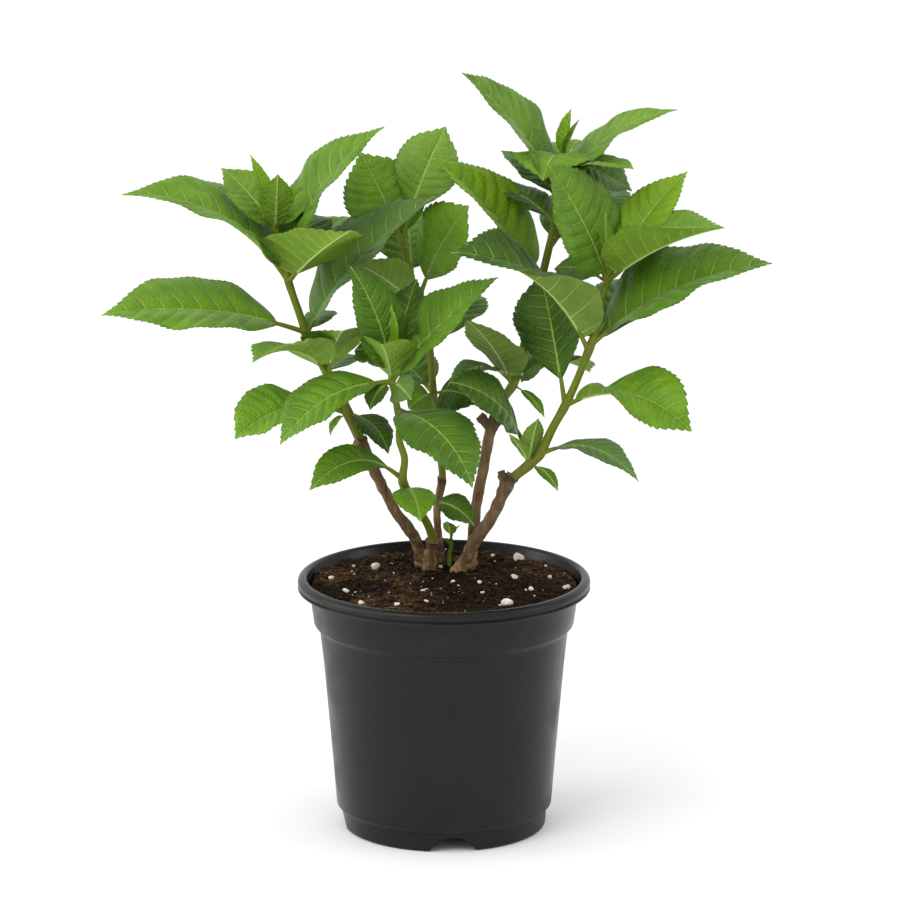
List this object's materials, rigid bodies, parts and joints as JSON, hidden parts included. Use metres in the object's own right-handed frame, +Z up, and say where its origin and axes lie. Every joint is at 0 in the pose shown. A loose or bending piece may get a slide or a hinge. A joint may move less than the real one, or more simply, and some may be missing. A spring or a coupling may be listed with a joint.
{
  "type": "potted hydrangea shrub",
  "caption": "Young leafy hydrangea shrub with woody canes and green shoots, rooted in a round tapered plastic nursery pot of potting mix.",
  "frame": {"origin": "middle of the pot's flat underside, where it stands on the ground", "axes": "+Z up along the pot's axis; the shrub's front, as pictured, looks along -Y and +X is to its right"},
  "size_m": [0.3742, 0.1954, 0.4316],
  "materials": {
    "pot": "charcoal plastic with a soft sheen",
    "potting_soil": "crumbly dark peat with white perlite bits",
    "cane": "thin brown bark",
    "foliage": "soft veined leaf, paler underneath"
  },
  "bodies": {
    "root": {"pot": "pot", "potting_soil": "potting_soil", "cane_left": "cane", "cane_right": "cane", "cane_middle": "cane", "cane_back": "cane", "cane_front": "cane", "shoot_left": "foliage", "shoot_back": "foliage", "shoot_front": "foliage", "shoot_middle": "foliage", "shoot_right": "foliage", "sprout": "foliage"}
  },
  "joints": []
}
